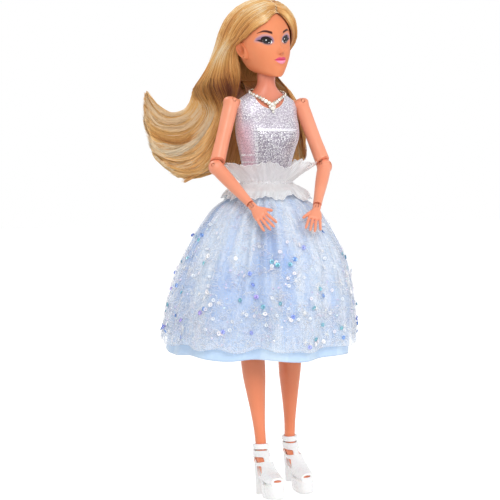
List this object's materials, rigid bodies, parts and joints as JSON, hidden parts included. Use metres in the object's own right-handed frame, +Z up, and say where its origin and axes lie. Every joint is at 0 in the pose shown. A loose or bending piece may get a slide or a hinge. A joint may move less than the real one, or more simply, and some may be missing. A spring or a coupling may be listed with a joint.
{
  "type": "fashion doll",
  "caption": "Posable fashion doll with long rooted hair, jointed arms and legs and a turning head, in a dotted bodice, organza frills, a full two-layer skirt and platform shoes.",
  "frame": {"origin": "centre of the bounding box at the ground plane under the lower shoe", "axes": "+Z up along the body; the doll faces -Y and its own right hand lies towards -X"},
  "size_m": [0.1246, 0.112, 0.3029],
  "materials": {
    "skin": "soft satin vinyl and moulded plastic",
    "hair": "glossy synthetic fibre",
    "lame": "metallic dotted lame",
    "organza": "sheer organza",
    "satin": "smooth satin",
    "tulle": "embroidered tulle",
    "shoe": "glossy moulded plastic",
    "crystal": "silver-plated and clear cut beads",
    "peg": "plain nylon"
  },
  "bodies": {
    "torso": {"torso_front": "skin", "torso_back": "skin", "bodice": "lame", "bodice_closure": "organza", "waist_band": "organza", "ruffle_upper": "organza", "ruffle_lower": "organza", "underskirt": "satin", "overskirt": "tulle", "necklace": "crystal", "pendant": "crystal", "hair_lengths": "hair"},
    "neck": {"neck_knob": "peg"},
    "head": {"head": "skin", "hair_crown": "hair"},
    "right_shoulder": {"right_shoulder_peg": "peg"},
    "right_upper_arm": {"right_upper_arm": "skin", "right_shoulder_pin": "peg"},
    "right_elbow": {"right_elbow_peg": "peg"},
    "right_forearm": {"right_forearm": "skin", "right_elbow_pin": "peg"},
    "right_wrist": {"right_wrist_peg": "peg"},
    "right_hand": {"right_hand": "skin", "right_wrist_pin": "peg"},
    "right_hip": {"right_hip_peg": "peg"},
    "right_thigh": {"right_thigh": "skin", "right_hip_pin": "peg"},
    "right_shin": {"right_shin": "skin", "right_knee_pin": "peg", "right_shoe": "shoe"},
    "left_shoulder": {"left_shoulder_peg": "peg"},
    "left_upper_arm": {"left_upper_arm": "skin", "left_shoulder_pin": "peg"},
    "left_elbow": {"left_elbow_peg": "peg"},
    "left_forearm": {"left_forearm": "skin", "left_elbow_pin": "peg"},
    "left_wrist": {"left_wrist_peg": "peg"},
    "left_hand": {"left_hand": "skin", "left_wrist_pin": "peg"},
    "left_hip": {"left_hip_peg": "peg"},
    "left_thigh": {"left_thigh": "skin", "left_hip_pin": "peg"},
    "left_shin": {"left_shin": "skin", "left_knee_pin": "peg", "left_shoe": "shoe"}
  },
  "joints": [
    {"name": "neck_nod", "type": "hinge", "parent": "torso", "child": "neck", "pos_m": [0.00568, 0.00171, 0.25226], "axis": [1, 0, 0], "range_deg": [-12, 12]},
    {"name": "head_turn", "type": "hinge", "parent": "neck", "child": "head", "pos_m": [0.00568, 0.00171, 0.25226], "axis": [0, 0, 1], "range_deg": [-60, 60], "deforming": ["hair_lengths"]},
    {"name": "right_shoulder_swing", "type": "hinge", "parent": "torso", "child": "right_shoulder", "pos_m": [-0.01682, 0.00171, 0.24075], "axis": [-1, 0, 0], "range_deg": [-4, 120]},
    {"name": "right_shoulder_spread", "type": "hinge", "parent": "right_shoulder", "child": "right_upper_arm", "pos_m": [-0.01682, 0.00171, 0.24075], "axis": [0, 0.9848, -0.1736], "range_deg": [-5, 60]},
    {"name": "right_elbow_twist", "type": "hinge", "parent": "right_upper_arm", "child": "right_elbow", "pos_m": [-0.02925, -0.00535, 0.20073], "axis": [0.2924, 0.1661, 0.9418], "range_deg": [-60, 24]},
    {"name": "right_elbow_bend", "type": "hinge", "parent": "right_elbow", "child": "right_forearm", "pos_m": [-0.02925, -0.00535, 0.20073], "axis": [-0.6762, -0.6605, 0.3264], "range_deg": [-50, 24], "deforming": ["ruffle_upper", "ruffle_lower"]},
    {"name": "right_wrist_turn", "type": "hinge", "parent": "right_forearm", "child": "right_wrist", "pos_m": [-0.01537, -0.03088, 0.17783], "axis": [-0.3752, 0.69, 0.6189], "range_deg": [-60, 60]},
    {"name": "right_wrist_bend", "type": "hinge", "parent": "right_wrist", "child": "right_hand", "pos_m": [-0.01537, -0.03088, 0.17783], "axis": [-0.7117, 0.2134, -0.6693], "range_deg": [-30, 30]},
    {"name": "right_hip_swing", "type": "hinge", "parent": "torso", "child": "right_hip", "pos_m": [-0.00732, 0.00171, 0.16725], "axis": [-1, 0, 0], "range_deg": [-20, 30], "deforming": ["underskirt", "overskirt"]},
    {"name": "right_hip_spread", "type": "hinge", "parent": "right_hip", "child": "right_thigh", "pos_m": [-0.00732, 0.00171, 0.16725], "axis": [0, 0.9877, -0.1564], "range_deg": [-1, 16]},
    {"name": "right_knee_bend", "type": "hinge", "parent": "right_thigh", "child": "right_shin", "pos_m": [-0.00851, -0.00893, 0.1001], "axis": [0.9998, -0.0027, -0.0172], "range_deg": [0, 65]},
    {"name": "left_shoulder_swing", "type": "hinge", "parent": "torso", "child": "left_shoulder", "pos_m": [0.02818, 0.00171, 0.24075], "axis": [-1, 0, 0], "range_deg": [-4, 120]},
    {"name": "left_shoulder_spread", "type": "hinge", "parent": "left_shoulder", "child": "left_upper_arm", "pos_m": [0.02818, 0.00171, 0.24075], "axis": [0, -0.9781, 0.2079], "range_deg": [-5, 60]},
    {"name": "left_elbow_twist", "type": "hinge", "parent": "left_upper_arm", "child": "left_elbow", "pos_m": [0.04131, -0.0067, 0.20122], "axis": [0.309, -0.1977, -0.9303], "range_deg": [-60, 24]},
    {"name": "left_elbow_bend", "type": "hinge", "parent": "left_elbow", "child": "left_forearm", "pos_m": [0.04131, -0.0067, 0.20122], "axis": [-0.5724, 0.7425, -0.348], "range_deg": [-50, 24], "deforming": ["ruffle_upper", "ruffle_lower"]},
    {"name": "left_wrist_turn", "type": "hinge", "parent": "left_forearm", "child": "left_wrist", "pos_m": [0.0262, -0.02986, 0.17664], "axis": [0.4083, 0.626, 0.6644], "range_deg": [-60, 60]},
    {"name": "left_wrist_bend", "type": "hinge", "parent": "left_wrist", "child": "left_hand", "pos_m": [0.0262, -0.02986, 0.17664], "axis": [-0.9076, 0.3566, 0.2217], "range_deg": [-30, 30]},
    {"name": "left_hip_swing", "type": "hinge", "parent": "torso", "child": "left_hip", "pos_m": [0.01868, 0.00171, 0.16725], "axis": [-1, 0, 0], "range_deg": [-20, 30], "deforming": ["underskirt", "overskirt"]},
    {"name": "left_hip_spread", "type": "hinge", "parent": "left_hip", "child": "left_thigh", "pos_m": [0.01868, 0.00171, 0.16725], "axis": [0, -1, 0], "range_deg": [-1, 16]},
    {"name": "left_knee_bend", "type": "hinge", "parent": "left_thigh", "child": "left_shin", "pos_m": [0.02224, 0.00171, 0.09935], "axis": [0.9986, 0, 0.0523], "range_deg": [0, 65]}
  ]
}
